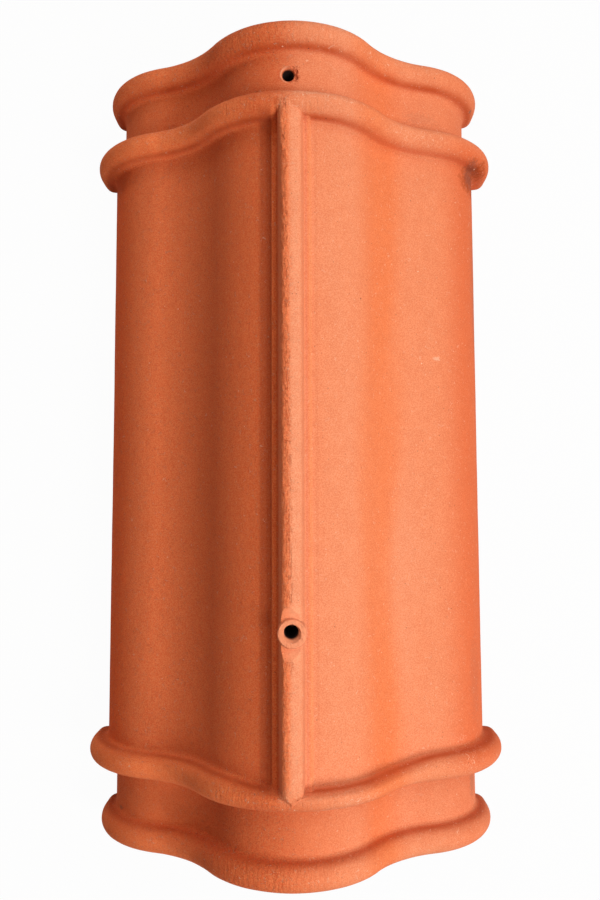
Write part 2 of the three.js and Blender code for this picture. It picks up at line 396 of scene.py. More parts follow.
def crown_at(size, y):
    """Height of the body's crown at this place along the tile."""
    return crown_height(size) - size["Taper"] / size["Length"] * y


def upper_crest(size):
    """y of the upper inner bead's crest."""
    return size["Length"] / 2 - size["Inner Bead Setback"]


def section_length(size):
    """From the crown to a foot."""
    flank, shelf = size["Flank Slope"], size["Shelf Slope"]
    return (size["Hump Radius"] * flank + size["Hollow Radius"] * (flank - shelf)
            + size["Shoulder Radius"] * (QUARTER_TURN - shelf) + size["Leg Height"])


def bead_side(tree, size, bead, fillet, depth=0):
    """How a bead's side runs down to its fillet, which lies this deep under the body's face."""
    return place(tree, BEAD_SIDE, {
        "Drop": size[f"{bead} Rise"] + depth, "Radius": size[f"{bead} Radius"],
        "Fillet": size[fillet], "Steepest": size["Steepest Side"]})


def wall_outline(tree, size, row):
    """For a row of the wall's closed outline: y, how far out of the body's face, and how much
    painted shade it gets beside the beads.
    """
    end = bead_side(tree, size, "End Bead", "End Bead Fillet", size["Neck Depth"])
    inner = bead_side(tree, size, "Inner Bead", "Neck Fillet", size["Neck Depth"])
    body = bead_side(tree, size, "Inner Bead", "Body Fillet")
    end_radius, inner_radius = size["End Bead Radius"], size["Inner Bead Radius"]
    end_face = size["Wall"] + size["End Bead Rise"] - end_radius
    neck = size["Inner Bead Setback"] - end_radius - end["Run"] - inner["Run"]
    end_run = (end_face + end_radius * QUARTER_TURN + end["Path"] + neck
               + inner["Path"] + body["Path"])
    body_run = size["Length"] - 2 * (size["Inner Bead Setback"] + body["Run"])
    outer = paced(row, ((end_run, END_STEPS), (body_run, BODY_STEPS), (end_run, END_STEPS)))
    whole = 2 * end_run + body_run
    start = {"Left": outer.least(whole - outer), "Across": 0, "Up": -size["Wall"],
             "Heading": QUARTER_TURN}
    points = travel(tree, start, (
        (end_face, None), (end_radius, -QUARTER_TURN), (end_radius, -end["Turn"]),
        (end["Straight"], None), (size["End Bead Fillet"], end["Turn"]), (neck, None),
        (size["Neck Fillet"], inner["Turn"]), (inner["Straight"], None),
        (inner_radius, -inner["Turn"]), (inner_radius, -body["Turn"]), (body["Straight"], None),
        (size["Body Fillet"], body["Turn"]), (body_run, None)))
    crease = 0
    for step, middle, reach in CREASES:
        crease = crease + abs(points[step]["Left"] - middle * MM).over(reach, 0)
    side = (whole / 2 - outer + JUST_OVER).sign()
    back = paced(row - OUTSIDE_STEPS, ((size["Length"], UNDER_STEPS),))
    y = side * (points[-1]["Across"] - size["Length"] / 2) - back
    return y, points[-1]["Up"], crease * (back < JUST_OVER)


def arch(tree, size):
    """The arch with its beads and necks: the wall's closed outline carried from foot to foot."""
    mesh, column, row = tube(tree, AROUND, SECTION_STEPS)
    y, offset, crease = wall_outline(tree, size, row)
    travelled = section_length(size) * (2 * column / SECTION_STEPS - 1)
    across, _ = section_at(tree, size, travelled, 0)
    crest, run = upper_crest(size), bead_side(tree, size, "Inner Bead", "Body Fillet")["Run"]
    along = abs(y)
    share = (along / (crest - run)).least(((crest - along) / run).most(0))
    y = y - pinch(across, y) * share
    x, z = section_at(
        tree, size, travelled, offset - size["Taper"] / 2 * (y / (size["Length"] / 2)))
    shape = marked(tree, put(tree, mesh, x, y, z), "underside", row > OUTSIDE_STEPS - 0.5)
    return marked(tree, shape, "crease", crease)


def pinch(x, y):
    """How much narrower the lower inner bead's side is at this x."""
    reach = abs(x - PINCH_MIDDLE * MM).over(*PINCH_REACH)
    return BEAD_PINCH * MM * reach * (y < 0)


def rib(tree, size):
    """The pitched rib on its ledges: its outline carried from the upper inner bead to the gable."""
    half_top, half_foot = size["Rib Top Width"] / 2, size["Rib Foot Width"] / 2
    eaves, ledge = size["Rib Eaves Rise"], size["Ledge Rise"]
    crest_round, eaves_round = size["Rib Crest Radius"], size["Rib Eaves Radius"]
    foot_fillet, ledge_fillet = size["Rib Foot Fillet"], size["Ledge Fillet"]
    pitch = tree.math("ARCTAN2", size["Rib Crest Rise"] - eaves, half_top)
    batter = tree.math("ARCTAN2", eaves - ledge, half_foot - half_top)
    edge = LEDGE_EDGE * MM

    def cut(turn, radius):
        """What a rounded corner takes off each of its two sides."""
        return radius * tree.math("TANGENT", turn / 2)

    slope = (half_top / pitch.cos() - cut(2 * pitch, crest_round)
             - cut(batter - pitch, eaves_round))
    riser = ((half_foot - half_top) / batter.cos() - cut(batter - pitch, eaves_round)
             - cut(batter, foot_fillet))
    flat = size["Ledge Width"] / 2 - half_foot - cut(batter, foot_fillet) - edge
    outer = size["Ledge Width"] / 2 + ledge_fillet * (1 - math.sin(LEDGE_DIVE))
    fall = size["Hump Radius"] - (
        size["Hump Radius"] * size["Hump Radius"] - outer * outer).root()
    side = ledge + fall - edge - ledge_fillet * math.cos(LEDGE_DIVE)
    # Each step down from the crest, with its rows.
    steps = (
        (crest_round, -pitch, 4), (slope, None, 6), (eaves_round, pitch - batter, 5),
        (riser, None, 5), (foot_fillet, batter, 3), (flat, None, 3),
        (edge, -QUARTER_TURN, 3), (side, None, 1), (ledge_fillet, QUARTER_TURN - LEDGE_DIVE, 4),
        (ledge_fillet * 2, None, 1), (edge, LEDGE_DIVE - QUARTER_TURN, 1), (RIB_ROOT * MM, None, 2),
    )
    half_rows = sum(rows for _, _, rows in steps)
    mesh, column, row = tube(tree, 2 * half_rows, RIB_STEPS)
    row = row + 0.5 - half_rows
    lengths = [(first if turn is None else first * tree.math("ABSOLUTE", turn), rows)
               for first, turn, rows in steps]
    crest = size["Rib Crest Rise"] - crest_round * (1 / pitch.cos() - 1)
    start = {"Left": paced(abs(row), lengths), "Across": 0, "Up": crest, "Heading": 0}
    point = travel(tree, start, [step[:2] for step in steps])[-1]
    upper_end = upper_crest(size)
    tip = -(upper_end + size["Gable Overhang"])
    y = tip + (upper_end - tip) * (1 - column / RIB_STEPS)
    x, up = climbed(tree, size, point["Across"] * row.sign(), point["Up"], y)
    return marked(tree, put(tree, mesh, x, y, crown_at(size, y) + up), "rib", 1.0)


def climbed(tree, size, x, up, y):
    """Where the rib's section lies at y: lifted towards its gable, its ledges over the beads."""
    upper_end = upper_crest(size)
    radius, ledge = size["Inner Bead Radius"], size["Ledge Rise"]
    share = ((up - ledge) / (size["Rib Eaves Rise"] - ledge)).between(0, 1)
    lifted = up + share * size["Rib Lift"] * y.ramp(upper_end, -upper_end, smooth=False)
    run = bead_side(tree, size, "Inner Bead", "Body Fillet")["Run"]
    from_crest = (upper_end - abs(y)) / (1 - pinch(x, y) / run)
    bead = (size["Inner Bead Rise"] - radius - CLIMB_FALL * (from_crest - radius).most(0)
            + (radius * radius - from_crest * from_crest).most(0).root())
    low_cover, high_cover = (cover * MM for cover in LEDGE_COVER)
    cover = y.over(-COVER_CHANGE, COVER_CHANGE, low_cover, high_cover)
    climb = (bead + cover - ledge).most(0)
    round_off = x * x / (2 * (size["Hump Radius"] + size["Inner Bead Rise"]))
    climb = climb - round_off * climb.over(0, CLIMB_ROUND)
    riding = up.least(ledge) + climb + CLIMB_CROWN * (up - ledge).most(0)
    on_top = (1 - abs(x) / (size["Rib Top Width"] / 2)).between(0, 1)
    flare = tree.math("POWER", from_crest.over(FLARE_REACH, 0, smooth=False), 2)
    left = (x < 0) * (y > 0)
    start, middle, end = LEFT_SLOPE
    full = x.over(start, middle) * x.over(end, middle) * LEFT_FULLNESS * MM
    x = x + CREST_SHIFT * MM * on_top - RIB_FLARE * MM * flare * left * share
    return x, (lifted + full * share).most(riding)


def gable_tool(tree, size, side):
    """What cuts the rib's lower end back to one of its gable's two leaning faces."""
    cube, along, up, out = block(tree)
    slope, lean = size["Gable Slope"], size["Gable Lean"]
    tip_y = size["Inner Bead Setback"] - size["Length"] / 2 - size["Gable Overhang"]
    radius, over = size["Inner Bead Radius"], size["Gable Overhang"]
    foot = size["Inner Bead Rise"] - radius + (radius * radius - over * over).root()
    reach = GABLE_TOOL * MM
    along, up, out = along * reach, up * reach, (out + 0.5) * reach
    level = out * lean.sin() - up * lean.cos()
    x = side * (along * slope.cos() + level * slope.sin())
    y = tip_y + along * slope.sin() - level * slope.cos()
    z = crown_at(size, tip_y) + foot + up * lean.sin() + out * lean.cos()
    tool = put(tree, cube, x, y, z)
    if side > 0:
        return tool
    return tree.new("GeometryNodeFlipFaces", {"Mesh": tool})


def turned(tree, x, y, profile, wobble, drift=None):
    """An upright round solid at x, y from (radius, height) pairs, listed from the top down.

    Drift lists how far each ring stands off the middle along X and Y."""
    mesh, ring, place_in_ring = tube(tree, ROUND_SIDES, len(profile) - 1)
    angle = place_in_ring * (2 * math.pi / ROUND_SIDES)

    def by_ring(values):
        switch = tree.node("GeometryNodeIndexSwitch", {"Index": ring}, data_type="FLOAT")
        for _ in values[2:]:
            switch.index_switch_items.new()
        for socket, value in zip(switch.inputs[1:], values):
            tree.feed(socket, value)
        return tree.out(switch)

    around = tree.vector(angle.cos(), angle.sin(), y * WOBBLE_SHIFT)
    uneven = tree.noise(around, WOBBLE_SCALE, detail=1.0) * 2 - 1
    radius = by_ring([r for r, _ in profile]) * (1 + uneven * wobble)
    height = by_ring([z for _, z in profile])
    if drift:
        x = x + by_ring([dx for dx, _ in drift])
        y = y + by_ring([dy for _, dy in drift])
    return put(tree, mesh, x + radius * angle.cos(), y + radius * angle.sin(), height)


def boolean(tree, operation, first, *others):
    """Joins or cuts closed shapes."""
    node = tree.node("GeometryNodeMeshBoolean", operation=operation, solver="MANIFOLD")
    if operation == "DIFFERENCE":
        tree.feed(node.inputs["Mesh 1"], first)
        shapes = others
    else:
        shapes = (first, *others)
    for shape in shapes:
        tree.feed(node.inputs["Mesh 2"], shape)
    return tree.out(node)


def hip_tool(tree, size, boss_y):
    """What the two hips take off the rib round the boss: a prism that widens upwards."""
    cube, x, y, z = block(tree)
    near = size["Boss Diameter"] / 2 + size["Hip Gap"]
    rise = size["Rib Crest Rise"] - size["Rib Eaves Rise"]
    above = z > 0
    past = size["Hip Run"] + TOOL_OVERRUN * MM
    half = near + above * past
    upper_end = upper_crest(size)
    lift = size["Rib Lift"] * boss_y.ramp(upper_end, -upper_end, smooth=False)
    height = size["Rib Eaves Rise"] + lift + above * rise * past / size["Hip Run"]
    return put(tree, cube, x * 2 * size["Ledge Width"], boss_y + y.sign() * half,
               crown_at(size, boss_y) + height)


def boss(tree, size, x, y):
    """The round boss that stands on the rib, with its worn upper edge."""
    radius = size["Boss Diameter"] / 2
    top = crown_at(size, y) + size["Boss Rise"]
    edge = BOSS_EDGE * MM
    angles = [math.radians(90 / BOSS_EDGE_STEPS * step) for step in range(BOSS_EDGE_STEPS + 1)]
    rim = [(radius - edge * (1 - math.sin(a)), top - edge * (1 - math.cos(a))) for a in angles]
    foot = [(radius, top - size["Boss Rise"] - RIB_ROOT * MM)]
    flat = [(radius * share, top) for share in BOSS_TOP_RINGS]
    return turned(tree, x, y, flat + rim + foot, BOSS_WOBBLE)


def hole_tool(tree, size, x, y, top, kind, narrowing, ends):
    """What a hole takes out: a flared, worn mouth and a leaning bore that narrows to its exit."""
    bore, mouth, depth = (size[f"{kind} {part}"] for part in ("Bore", "Mouth", "Mouth Depth"))
    flare = (mouth - bore) / 2 / depth
    above = TOOL_OVERRUN * MM
    bottom = crown_at(size, y) - size["Wall"] - above
    profile = [  # the mouth's upper and lower edges are worn round
        (mouth / 2 + flare * above, top + above),
        (mouth / 2 + flare * depth * 0.25, top + depth * 0.12),
        (mouth / 2 - flare * depth * 0.28, top - depth * 0.2),
        (bore / 2 + flare * depth * 0.22, top - depth * 0.6),
        (bore / 2, top - depth * 1.15),
        (bore / 2 * (1 - narrowing), bottom),
    ]
    (start_x, start_y), (exit_x, exit_y) = ends
    drift = [(start_x * share * MM, start_y * share * MM) for share in (0, 0, 0.2, 0.6, 1)]
    drift.append((exit_x * MM, exit_y * MM))
    return turned(tree, x, y, profile, HOLE_WOBBLE, drift)


def chips(tree, x, y, top, places):
    """What broke out of a hole's rim, by places: off the middle along X and Y, radius, depth."""
    return [turned(tree, x + dx * MM, y + dy * MM, [
        (radius * 1.5 * MM, top + depth * MM), (radius * MM, top),
        (radius * 0.7 * MM, top - depth * 0.7 * MM), (radius * 0.15 * MM, top - depth * MM),
    ], CHIP_WOBBLE) for dx, dy, radius, depth in places]


def pierced_tile(tree, size):
    """Arch, rib, boss and holes as one closed shape."""
    boss_x, nail_x = BOSS_X * MM, NAIL_HOLE_X * MM
    boss_y = size["Boss Setback"] - size["Length"] / 2
    nail_y = size["Length"] / 2 - size["Nail Hole Setback"]
    shaped = boolean(
        tree, "DIFFERENCE", rib(tree, size), hip_tool(tree, size, boss_y),
        gable_tool(tree, size, 1), gable_tool(tree, size, -1))
    whole = boolean(tree, "UNION", arch(tree, size), shaped, boss(tree, size, boss_x, boss_y))
    boss_top = crown_at(size, boss_y) + size["Boss Rise"]
    neck_top = crown_at(size, nail_y) - size["Neck Depth"]
    return boolean(
        tree, "DIFFERENCE", whole,
        hole_tool(tree, size, boss_x, boss_y, boss_top, "Boss", BOSS_NARROWING, BOSS_DRIFT),
        hole_tool(tree, size, nail_x, nail_y, neck_top, "Nail Hole", NAIL_HOLE_NARROWING,
                  NAIL_HOLE_DRIFT),
        *chips(tree, nail_x, nail_y, neck_top, NAIL_HOLE_CHIPS))


def roughened(tree, shape, size):
    """What hand work and firing do to the pressed shape: waves, soft dents and the torn crest."""
    normal = tree.new("GeometryNodeInputNormal", output="Normal")
    x, y, z = tree.parts(tree.new("GeometryNodeInputPosition"))
    seed = size["Seed"]
    waves = tree.noise(tree.vector(x + seed, y * 0.35, z), WAVES_PER_METRE, detail=1.0) - 0.5
    dents = tree.noise(tree.vector(x, y * 0.5 + seed, z), DENTS_PER_METRE) - 0.5
    tears = tree.noise(tree.vector(x, y * 0.45 + seed, z), TEARS_PER_METRE) - 0.5
    struck = abs(x - TEAR_MIDDLE * MM).over(TEAR_REACH, 1) * mark(tree, "rib")
    push = (waves * 2 * size["Wave Height"] + dents * 2 * size["Dent Depth"]
            + tears * 2 * size["Tear Depth"] * struck) * z.over(0, OFF_FLOOR)
    return tree.new("GeometryNodeSetPosition", {
        "Geometry": shape, "Offset": tree.scaled(normal, push)})


def tile_tree():
    """The whole tile as one tree with its sizes as inputs."""
    inputs = {name: ("length", size * MM) for name, size in TILE_SIZES.items()}
    inputs.update({name: ("angle", math.radians(turn)) for name, turn in TILE_ANGLES.items()})
    inputs.update({name: ("length", 0.0) for name in ("Wave Height", "Dent Depth", "Tear Depth")})
    inputs.update({"Seed": ("float", 0.0), "Outside": "material", "Underside": "material"})
    tree, size, result = new_group(
        "ridge_tile_shape", "GeometryNodeTree", inputs, {"Tile": "shape"})
    shape = roughened(tree, pierced_tile(tree, size), size)
    angle = tree.new("GeometryNodeInputMeshEdgeAngle")
    shape = tree.new("GeometryNodeSetShadeSmooth", {
        "Geometry": shape, "Shade Smooth": angle < math.radians(CREASE_ANGLE)}, domain="EDGE")
    shape = tree.new("GeometryNodeRealizeInstances", {"Geometry": shape})
    shape = tree.new("GeometryNodeSetMaterial", {"Geometry": shape, "Material": size["Outside"]})
    return finished(tree, result, {"Tile": tree.new("GeometryNodeSetMaterial", {
        "Geometry": shape, "Selection": mark(tree, "underside") > 0.5,
        "Material": size["Underside"]})})


def in_scene(name, data):
    """A new object with this data, in the scene."""
    made = bpy.data.objects.new(name, data)
    bpy.context.scene.collection.objects.link(made)
    return made


def built(name, group, values):
    """A plain mesh object made by a tree with these input values."""
    maker = in_scene(name + "_maker", bpy.data.meshes.new(name))
    modifier = maker.modifiers.new("shape", "NODES")
    modifier.node_group = group
    for item in group.interface.items_tree:
        if item.item_type == "SOCKET" and item.in_out == "INPUT" and item.name in values:
            modifier[item.identifier] = values[item.name]
    shape = bpy.data.meshes.new_from_object(
        maker.evaluated_get(bpy.context.evaluated_depsgraph_get()))
    maker.modifiers.remove(modifier)
    bpy.data.objects.remove(maker)
    shape.name = name
    return in_scene(name, shape)


# ---------------------------------------------------------------- finishes

# Tones of the clay.
ORANGE = (0.75, 0.198, 0.068, 1)
PINK = (0.75, 0.265, 0.13, 1)
SHADED_SIDE_RED = (0.75, 0.176, 0.058, 1)  # painted shade: the shaded left side redder than the lit, pinker right
# painted shade, deeper still further left
SHADED_SIDE_DEEPER = (0.68, 0.147, 0.044, 1)
RIGHT_FOOT_SHADE = (0.66, 0.12, 0.03, 1)  # painted shade towards the right foot,
LEFT_FOOT_SHADE = (0.78, 0.124, 0.021, 1)  # and towards the left one
DEEP = (0.56, 0.125, 0.045, 1)
CREASE_SHADE = (0.4, 0.07, 0.02, 1)  # painted shade in the creases beside the rib and in the nail hole's chips,
BEAD_CREASE_SHADE = (0.5, 0.08, 0.015, 1)  # and beside the beads
# painted light: the left beads, necks and ledge paler, as lit
BRIGHT = (0.92, 0.235, 0.075, 1)
LIT_PALE = (0.8, 0.34, 0.19, 1)  # painted light, paler, on the rib's right slope and the nail hole's left rim
PURPLISH = (0.6, 0.2, 0.14, 1)
# painted shade: the rib's shaded left slope more saturated
FIERY = (0.82, 0.2, 0.066, 1)
# painted light on the right ledge's lit side
GOLDEN = (0.8, 0.27, 0.105, 1)
# painted light on the boss's top and its hips
LIT_BOSS_PALE = (1, 0.37, 0.19, 1)
CRACKED = (0.62, 0.09, 0.02, 1)
# painted shade under the upper inner bead's ends
BEAD_END_SHADE = (0.36, 0.05, 0.003, 1)
PALE_GRIT = (0.85, 0.55, 0.38, 1)
DARK_GRIT = (0.22, 0.06, 0.03, 1)
# soot, and in one mark painted shade
SOOT_AND_SHADE = (0.16, 0.1, 0.08, 1)
# painted shade down the bores
BORE_DARK = (0.008, 0.001, 0, 1)
UNDERSIDE_TONE = (0.62, 0.2, 0.1, 1)

# Where the tones change, in x: none yet at the first place, whole at the second.
ORANGE_BAND = (46, 17)  # middle and half width
BAND_CORE = 2  # half width of its full tone
LIMB = (73, 103)  # painted shade darkens the right side from here to here,
LEFT_LIMB = (-86, -106)  # and the left side here
# the painted shade on the left deepens from here to here
SHADED_SIDE_DEEPER_FROM = (-66, -32)
LIT_PALER_BEADS = (-15, -38)  # left of here the inner beads are painted paler, as lit,
LIT_PALER_NECKS = (-44, -62)  # and here the necks and end beads
ROUGH_SIDE = (8, -8)  # the left side's grain is rougher
FAINT_SIDE = (12, 46)
OVER_HUMP = (80, 30)
SIDE_EDGE = (-7.5, -5)  # the painted shaded left and lit right meet at the foot of the rib on the body,
SIDE_FADES = ((-34, 34), (-18, 8))  # and softly on the lower and the upper neck and end bead
# The same along the tile, by distance from its middle.
INNER_BEAD = 172
BODY_END = (168, 178)
RIB_END = (172, 164)
NECK_FADE, BEAD_FOOT = (215, 181), (176, 179)  # painted shade on the neck deepens towards the inner bead's foot
END_BEAD = (203, 207)

# The painted shade in the creases is faint on the right under the upper inner bead, between these
# two changes in y, and on the lower end bead.
FAINT_CREASE = ((150, 152), (172, 170))
FAINT_END_CREASE = (-200, -202)

# The tears along the crest: where their line crosses the middle, its lean, half its width, and
# the y above which they open.
CRACK_X, CRACK_LEAN, CRACK_REACH = -1.6, 0.011, 2.4
CRACK_START = (-118, -104)

# Lines along the rib: x, half width, colour, strength. All but the purplish groove are painted
# light
# and shade: painted shadow and shade beside the left ledge, painted light on its top, on the rib's
# right slope and on the right ledge's side, painted shade at the feet of the rib and the right
# ledge, and the rib's shaded left slope painted more saturated.
RIB_LINES = (
    (-14, 3.2, CREASE_SHADE, 0.6),
    (-11.3, 1.9, CREASE_SHADE, 0.6),
    (-8.6, 1.6, BRIGHT, 0.8),
    (-6.7, 0.9, CREASE_SHADE, 0.1),
    (-3, 3.4, FIERY, 0.8),
    (2.6, 3.4, LIT_PALE, 0.4),
    (5.9, 0.8, CREASE_SHADE, 0.06),
    (7.6, 0.7, PURPLISH, 0.2),
    (9.6, 1.4, GOLDEN, 0.6),
    (12.8, 1.2, CREASE_SHADE, 0.08),
)

# Marks of handling and smoke, and painted shade in the nail hole's chips and under the upper inner
# bead's right end: centre, half size along X, Y and Z, colour, strength.
MARKS = (
    ((80.8, 49.8, 51), (2.6, 1.4, 3), PALE_GRIT, 0.45),
    ((16, -178.4, 101), (7, 1.2, 9), PALE_GRIT, 0.3),
    ((13, 176, 108), (14, 0.8, 4), PALE_GRIT, 0.15),
    ((8.8, 200.4, 93), (1, 0.7, 1), PALE_GRIT, 0.5),
    # painted shade in the nail hole's chips
    ((3, 192.6, 94), (1.6, 4.6, 3), CREASE_SHADE, 0.7),
    ((102, -130, 34), (4, 26, 12), SOOT_AND_SHADE, 0.12),
    ((108, 96, 24), (4, 44, 16), SOOT_AND_SHADE, 0.2),
    # painted shade under the upper inner bead's right end
    ((105, 162, 34), (5, 7, 18), SOOT_AND_SHADE, 0.35),
    ((72, 190, 45), (13, 4, 9), SOOT_AND_SHADE, 0.12),
    ((107.7, 206.9, 20), (1.2, 1, 2), SOOT_AND_SHADE, 0.6),
    ((-99.1, -203, 31), (2, 1.2, 4), SOOT_AND_SHADE, 0.4),
    ((101.2, -190.8, 27), (2.4, 8, 8), SOOT_AND_SHADE, 0.3),
    ((10, -180, 103), (6, 0.7, 3), SOOT_AND_SHADE, 0.5),
)

# Painted shade under the upper inner bead's ends: centre, half size along X, Y and Z, strength.
BEAD_END_SHADES = (((111, 160, 34), (15.5, 10, 28), 0.95), ((-105, 160, 34), (13, 9, 27), 0.4))

# Where fine pale scratches show: centre, half size along X, Y and Z.
SCUFFS = (
    ((97, -166, 50), (13, 9, 16)), ((-91, -171, 59), (7, 6, 8)), ((66, 172, 62), (26, 6, 22)),
    ((30, -176, 100), (18, 5, 12)), ((13, 176, 106), (34, 4, 12)), ((-60, 176, 70), (40, 5, 30)),
)

# Single grits: centre, radius.
PALE_SPECKS = (
    ((63.8, 98.9, 57), 0.5), ((70.3, 98.8, 54.5), 0.4), ((34.6, 53.6, 86), 0.4),
    ((71.7, 46.8, 54), 0.5), ((1.3, -176.8, 110), 0.5), ((-4.4, -176.2, 110), 0.4),
    ((-4.1, 206, 97.6), 0.5), ((-64, 77.6, 57.6), 0.4), ((-81, 48.4, 51), 0.4),
    ((-50.5, 79.8, 67), 0.4), ((107, 165.8, 33), 0.6),
)
DARK_SPECKS = (
    ((9.4, 205.8, 96), 0.5), ((18.2, 165.9, 101), 0.5), ((36.2, 76.4, 84), 0.5),
)

# The bores are painted dark as shade: x, y, radius, the heights where the painted shade begins and
# is full, and how strongly the left of the rim is painted paler, as lit.
BOSS_Y = TILE_SIZES["Boss Setback"] - TILE_SIZES["Length"] / 2
NAIL_HOLE_Y = TILE_SIZES["Length"] / 2 - TILE_SIZES["Nail Hole Setback"]
BORES = (
    (BOSS_X, BOSS_Y, 5, 110.4, 108, 0), (NAIL_HOLE_X, NAIL_HOLE_Y, 4.6, 93.4, 91.4, 0.8),
)
BOSS_TOP = (7.7, 6.6)  # the boss's top is painted paler, as lit, to this far from its middle,
HIPS = (15, 11)  # and the hips beside it to this far,
HIP_REACH = 6.5  # over half this width

# How many strokes over the beads, crumbs of torn clay, changes in the painted shade along the
# creases and gaps in the tears there are to the metre.
STROKES_PER_METRE, CRUMBS_PER_METRE, CREASE_SHADE_CHANGES_PER_METRE, GAPS_PER_METRE = 700.0, 900.0, 30.0, 90.0

GRIT_REACH = 0.11  # a grit's reach, by share of the spacing
DARK_GRIT_SHIFT = 0.017  # so that dark grits lie elsewhere than pale ones
CLAY_ROUGHNESS, UNDERSIDE_ROUGHNESS = 0.86, 0.85
ROUGHNESS_SPREAD = 0.12  # how much the grain and the drag lines add to it
CLAY_SPECULAR = 0.25
GRAIN_DEPTH, UNDERSIDE_GRAIN_DEPTH = 0.5, 0.4  # how deep the bump of the grain goes


def material(name):
    """An empty material: its tree, its Principled shader, and where a point of the piece is."""
    made = bpy.data.materials.new(name)
    made.use_nodes = True
    tree = Tree(made.node_tree)
    spot = tree.new("ShaderNodeTexCoord", output="Object")
    return made, tree, made.node_tree.nodes["Principled BSDF"], spot


def grit_group():
    """The sandy grain of fired clay: its height, its stain, and where grits and hairs show."""
    tree, given, result = new_group(
        "grit", "ShaderNodeTree",
        {"Place": "vector", "Grain Size": ("float", 0.8 * MM), "Grit Spacing": ("float", 3 * MM)},
        {"Height": "float", "Stain": "float", "Hairs": "float", "Scratches": "float",
         "Pale Grit": "float", "Dark Grit": "float"})
    spot, grain, spacing = given["Place"], given["Grain Size"], given["Grit Spacing"]
    fine = tree.noise(spot, 1 / grain, roughness=0.7)
    coarse = tree.noise(spot, 0.22 / grain, detail=1.0)
    stain = tree.noise(spot, 1.3 / grain, detail=1.0, roughness=0.6)

    # A hair is where a wavy noise crosses its middle.
    wavy = tree.noise(spot, 0.28 / grain, detail=1.0, distortion=0.6)
    thin = abs(wavy - 0.5).ramp(0.014, 0.003)
    hairs = thin * tree.noise(spot, 0.4 / grain, detail=0.0).ramp(0.53, 0.6)

    def grits(shift, rarest):
        """Grits in the cells whose chance is over rarest."""
        cells = tree.node("ShaderNodeTexVoronoi", {
            "Vector": tree.vector_math("ADD", spot, tree.vector(shift, shift, 0)),
            "Scale": 1 / spacing, "Randomness": 1.0})
        chance, radius, _ = tree.parts(tree.out(cells, "Color"))
        far, full = GRIT_REACH * (0.4 + radius), GRIT_REACH * 0.3
        return tree.out(cells, "Distance").ramp(far, full, smooth=False) * (chance > rarest)

    return finished(tree, result, {
        "Stain": stain.ramp(0.32, 0.68), "Hairs": hairs, "Scratches": thin,
        "Height": fine * 0.65 + coarse * 0.35 + hairs * 0.4,
        "Pale Grit": grits(0.0, 0.9), "Dark Grit": grits(DARK_GRIT_SHIFT, 0.6)})


def firing_group():
    """How the firing tones the clay: soft clouds drawn out along the tile, and finer mottle."""
    tree, given, result = new_group(
        "firing_tones", "ShaderNodeTree",
        {"Place": "vector", "Cloud Size": ("float", 60 * MM), "Drawn Out": ("float", 4.0)},
        {"Clouds": "float", "Mottle": "float"})
    x, y, z = tree.parts(given["Place"])
    drawn = tree.vector(x, y / given["Drawn Out"], z)
    clouds = tree.noise(drawn, 1 / given["Cloud Size"], distortion=0.3)
    mottle = tree.noise(given["Place"], 9 / given["Cloud Size"], detail=3.0, roughness=0.6)
    return finished(tree, result, {
        "Clouds": clouds.ramp(0.3, 0.7), "Mottle": mottle.ramp(0.25, 0.75)})


def blot_group():
    """A soft patch with a ragged rim; its reach is half its size along X, Y and Z."""
    tree, given, result = new_group(
        "blot", "ShaderNodeTree",
        {"Place": "vector", "Centre": "vector", "Reach": "vector", "Ragged": ("float", 0.6),
         "Crumb": ("float", 2 * MM)},
        {"Mask": "float"})
    away = tree.vector_math("DIVIDE", tree.vector_math("SUBTRACT", given["Place"], given["Centre"]),
                            given["Reach"])
    crumbs = tree.noise(given["Place"], 1 / given["Crumb"], detail=3.0, roughness=0.65) - 0.5
    rim = tree.vector_math("LENGTH", away) + crumbs * 2 * given["Ragged"]
    return finished(tree, result, {"Mask": rim.ramp(1.1, 0.5)})


GRIT = grit_group()
FIRING_TONES = firing_group()
BLOT = blot_group()


def metres(values):
    return [value * MM for value in values]


def patch(tree, spot, centre, reach, ragged=1.5, crumb=1.1):
    """A blot at a centre given in millimetres."""
    return place(tree, BLOT, {
        "Place": spot, "Centre": metres(centre), "Reach": metres(reach),
        "Ragged": ragged, "Crumb": crumb * MM})["Mask"]


def speck(tree, spot, centre, radius):
    """A single round grit."""
    away = tree.vector_math("SUBTRACT", spot, metres(centre))
    return tree.vector_math("LENGTH", away).over(radius, radius * 0.6)


def line(across, middle, half):
    """1 in the middle of a soft line of this half width, 0 outside it."""
    return abs(across - middle * MM).over(half, half * 0.3)


def from_hole(tree, x, y, hole_x, hole_y):
    """How far a point is from a hole's middle, seen from above."""
    return tree.vector_math("LENGTH", tree.vector(x - hole_x * MM, y - hole_y * MM, 0))


def bumped(tree, shader, height, depth):
    """Raises the surface by height times depth."""
    bump = tree.new("ShaderNodeBump", {"Height": height, "Distance": depth * MM, "Strength": 1.0})
    tree.fill(shader, {"Normal": bump})


def stored(tree, name):
    """A value that the shape's tree stored with its points."""
    return tree.new("ShaderNodeAttribute", output="Fac", attribute_name=name)


